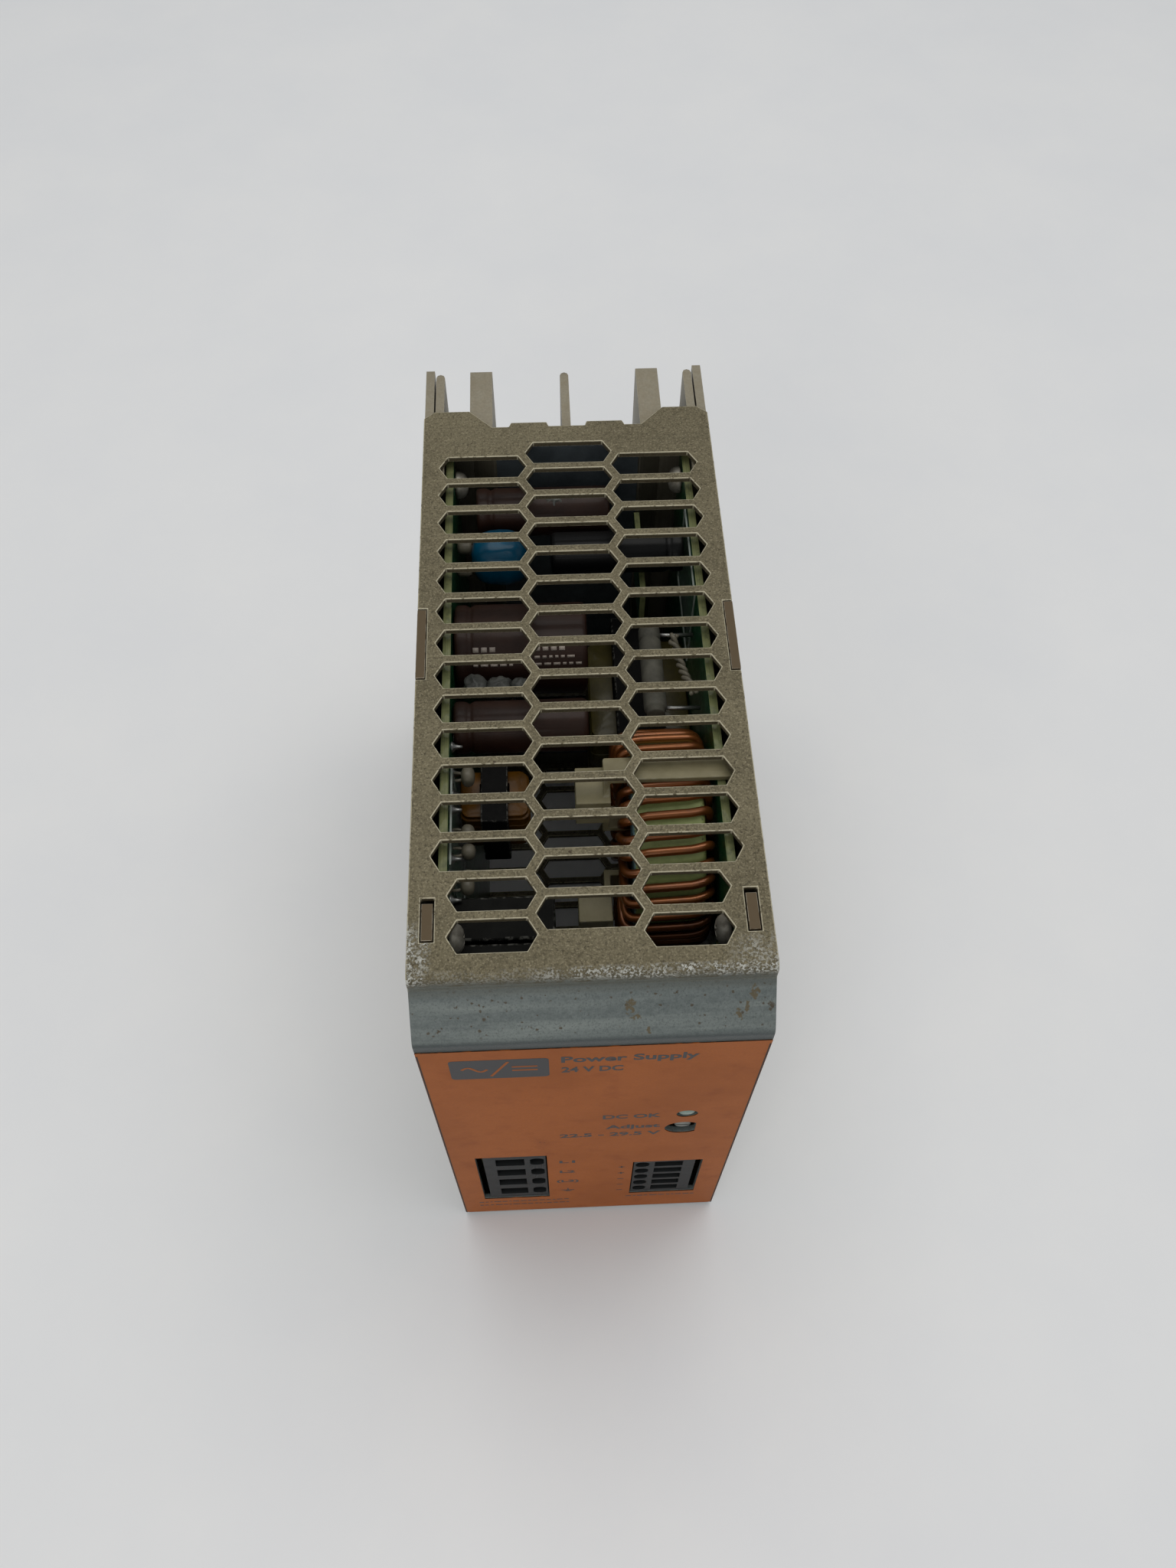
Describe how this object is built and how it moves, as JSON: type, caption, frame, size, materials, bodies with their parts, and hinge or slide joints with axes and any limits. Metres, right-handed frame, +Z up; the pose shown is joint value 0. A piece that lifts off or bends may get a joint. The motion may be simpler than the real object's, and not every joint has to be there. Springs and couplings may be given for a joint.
{
  "type": "din rail power supply",
  "caption": "Tall narrow industrial power supply in a vented folded-steel cover over a ribbed aluminium profile, with front clamp terminals and a rail latch.",
  "frame": {"origin": "middle of the box around the part, at the height of the underside it stands on", "axes": "+Z up, -Y out of the labelled front, +Y towards the rail, +X to the right seen from the front"},
  "size_m": [0.06, 0.1552, 0.13],
  "materials": {
    "cover_steel": "galvanised sheet, dull and dusty",
    "label_film": "printed orange film",
    "profile_aluminium": "extruded, dull",
    "board_laminate": "green solder mask",
    "clear_sheet": "milky insulating sheet",
    "dark_sheet": "dark insulating sheet",
    "screw_steel": "zinc plated",
    "bracket_steel": "zinc plated",
    "spring_steel": "bright spring steel",
    "terminal_plastic": "dark grey moulding",
    "led_lens": "pale green lens",
    "trimmer_plastic": "grey moulding",
    "trimmer_rotor": "pale moulding",
    "brown_sleeve": "shrink sleeve",
    "black_sleeve": "shrink sleeve",
    "blue_epoxy": "dipped epoxy",
    "grey_case": "grey plastic case",
    "ferrite": "sintered ferrite",
    "amber_tape": "polyester tape",
    "yellow_tape": "polyester tape",
    "core_coating": "powder coated ring core",
    "enamelled_copper": "enamelled copper wire",
    "nylon": "natural nylon",
    "resistor_body": "ceramic",
    "black_epoxy": "moulded package"
  },
  "bodies": {
    "case": {"auxiliary_transformer_core": "ferrite", "auxiliary_transformer_winding": "amber_tape", "board_screw_1": "screw_steel", "board_screw_2": "screw_steel", "board_screw_3": "screw_steel", "board_screw_4": "screw_steel", "board_screw_5": "screw_steel", "board_screw_6": "screw_steel", "board_screw_7": "screw_steel", "board_screw_8": "screw_steel", "bracket_screw_1": "screw_steel", "bracket_screw_2": "screw_steel", "bracket_screw_3": "screw_steel", "bracket_screw_4": "screw_steel", "bridge_rectifier": "black_epoxy", "bulk_capacitor_1": "brown_sleeve", "bulk_capacitor_2": "brown_sleeve", "bulk_capacitor_3": "brown_sleeve", "ceramic_resistor": "resistor_body", "chassis_profile": "profile_aluminium", "choke_core": "core_coating", "choke_tie_1": "nylon", "choke_tie_2": "nylon", "choke_winding": "enamelled_copper", "clamp_bar": "bracket_steel", "control_board": "board_laminate", "film_capacitor": "blue_epoxy", "filter_choke": "ferrite", "front_cover": "cover_steel", "front_label": "label_film", "input_terminal_block": "terminal_plastic", "latch_spring": "spring_steel", "left_circuit_board": "board_laminate", "left_insulating_sheet": "clear_sheet", "line_capacitor_1": "grey_case", "line_capacitor_2": "grey_case", "main_transformer_core": "ferrite", "main_transformer_winding": "yellow_tape", "output_capacitor_1": "black_sleeve", "output_capacitor_2": "black_sleeve", "output_rectifier": "black_epoxy", "output_terminal_block": "terminal_plastic", "rail_bracket": "bracket_steel", "rear_insulating_sheet": "dark_sheet", "right_circuit_board": "board_laminate", "right_insulating_sheet": "clear_sheet", "status_led": "led_lens", "switching_transistor": "black_epoxy", "trimmer_body": "trimmer_plastic"},
    "input_clamp_1": {"input_clamp_1": "spring_steel"},
    "input_clamp_2": {"input_clamp_2": "spring_steel"},
    "input_clamp_3": {"input_clamp_3": "spring_steel"},
    "input_clamp_4": {"input_clamp_4": "spring_steel"},
    "output_clamp_1": {"output_clamp_1": "spring_steel"},
    "output_clamp_2": {"output_clamp_2": "spring_steel"},
    "output_clamp_3": {"output_clamp_3": "spring_steel"},
    "output_clamp_4": {"output_clamp_4": "spring_steel"},
    "output_clamp_5": {"output_clamp_5": "spring_steel"},
    "rail_latch": {"rail_latch": "bracket_steel"},
    "trimmer_rotor": {"trimmer_rotor": "trimmer_rotor"}
  },
  "joints": [
    {"name": "rail_latch_slide", "type": "slide", "parent": "case", "child": "rail_latch", "axis": [0, 0, -1], "range_m": [0, 0.0045], "stiffness_N_per_m": 1500, "springref_m": -0.002, "deforming": ["latch_spring"]},
    {"name": "voltage_trimmer", "type": "hinge", "parent": "case", "child": "trimmer_rotor", "pos_m": [0.0183, -0.0736, 0.0664], "axis": [0, -1, 0], "range_deg": [-135, 135]},
    {"name": "input_clamp_1_press", "type": "hinge", "parent": "case", "child": "input_clamp_1", "pos_m": [-0.0208, -0.0641, 0.0439], "axis": [0, 0, 1], "range_deg": [0, 9], "stiffness_Nm_per_rad": 0.02, "springref_deg": -5.73},
    {"name": "input_clamp_2_press", "type": "hinge", "parent": "case", "child": "input_clamp_2", "pos_m": [-0.0208, -0.0641, 0.0357], "axis": [0, 0, 1], "range_deg": [0, 9], "stiffness_Nm_per_rad": 0.02, "springref_deg": -5.73},
    {"name": "input_clamp_3_press", "type": "hinge", "parent": "case", "child": "input_clamp_3", "pos_m": [-0.0208, -0.0641, 0.0275], "axis": [0, 0, 1], "range_deg": [0, 9], "stiffness_Nm_per_rad": 0.02, "springref_deg": -5.73},
    {"name": "input_clamp_4_press", "type": "hinge", "parent": "case", "child": "input_clamp_4", "pos_m": [-0.0208, -0.0641, 0.0193], "axis": [0, 0, 1], "range_deg": [0, 9], "stiffness_Nm_per_rad": 0.02, "springref_deg": -5.73},
    {"name": "output_clamp_1_press", "type": "hinge", "parent": "case", "child": "output_clamp_1", "pos_m": [0.0208, -0.0641, 0.0377], "axis": [0, 0, -1], "range_deg": [0, 9], "stiffness_Nm_per_rad": 0.02, "springref_deg": -5.73},
    {"name": "output_clamp_2_press", "type": "hinge", "parent": "case", "child": "output_clamp_2", "pos_m": [0.0208, -0.0641, 0.03262], "axis": [0, 0, -1], "range_deg": [0, 9], "stiffness_Nm_per_rad": 0.02, "springref_deg": -5.73},
    {"name": "output_clamp_3_press", "type": "hinge", "parent": "case", "child": "output_clamp_3", "pos_m": [0.0208, -0.0641, 0.02754], "axis": [0, 0, -1], "range_deg": [0, 9], "stiffness_Nm_per_rad": 0.02, "springref_deg": -5.73},
    {"name": "output_clamp_4_press", "type": "hinge", "parent": "case", "child": "output_clamp_4", "pos_m": [0.0208, -0.0641, 0.02246], "axis": [0, 0, -1], "range_deg": [0, 9], "stiffness_Nm_per_rad": 0.02, "springref_deg": -5.73},
    {"name": "output_clamp_5_press", "type": "hinge", "parent": "case", "child": "output_clamp_5", "pos_m": [0.0208, -0.0641, 0.01738], "axis": [0, 0, -1], "range_deg": [0, 9], "stiffness_Nm_per_rad": 0.02, "springref_deg": -5.73}
  ]
}
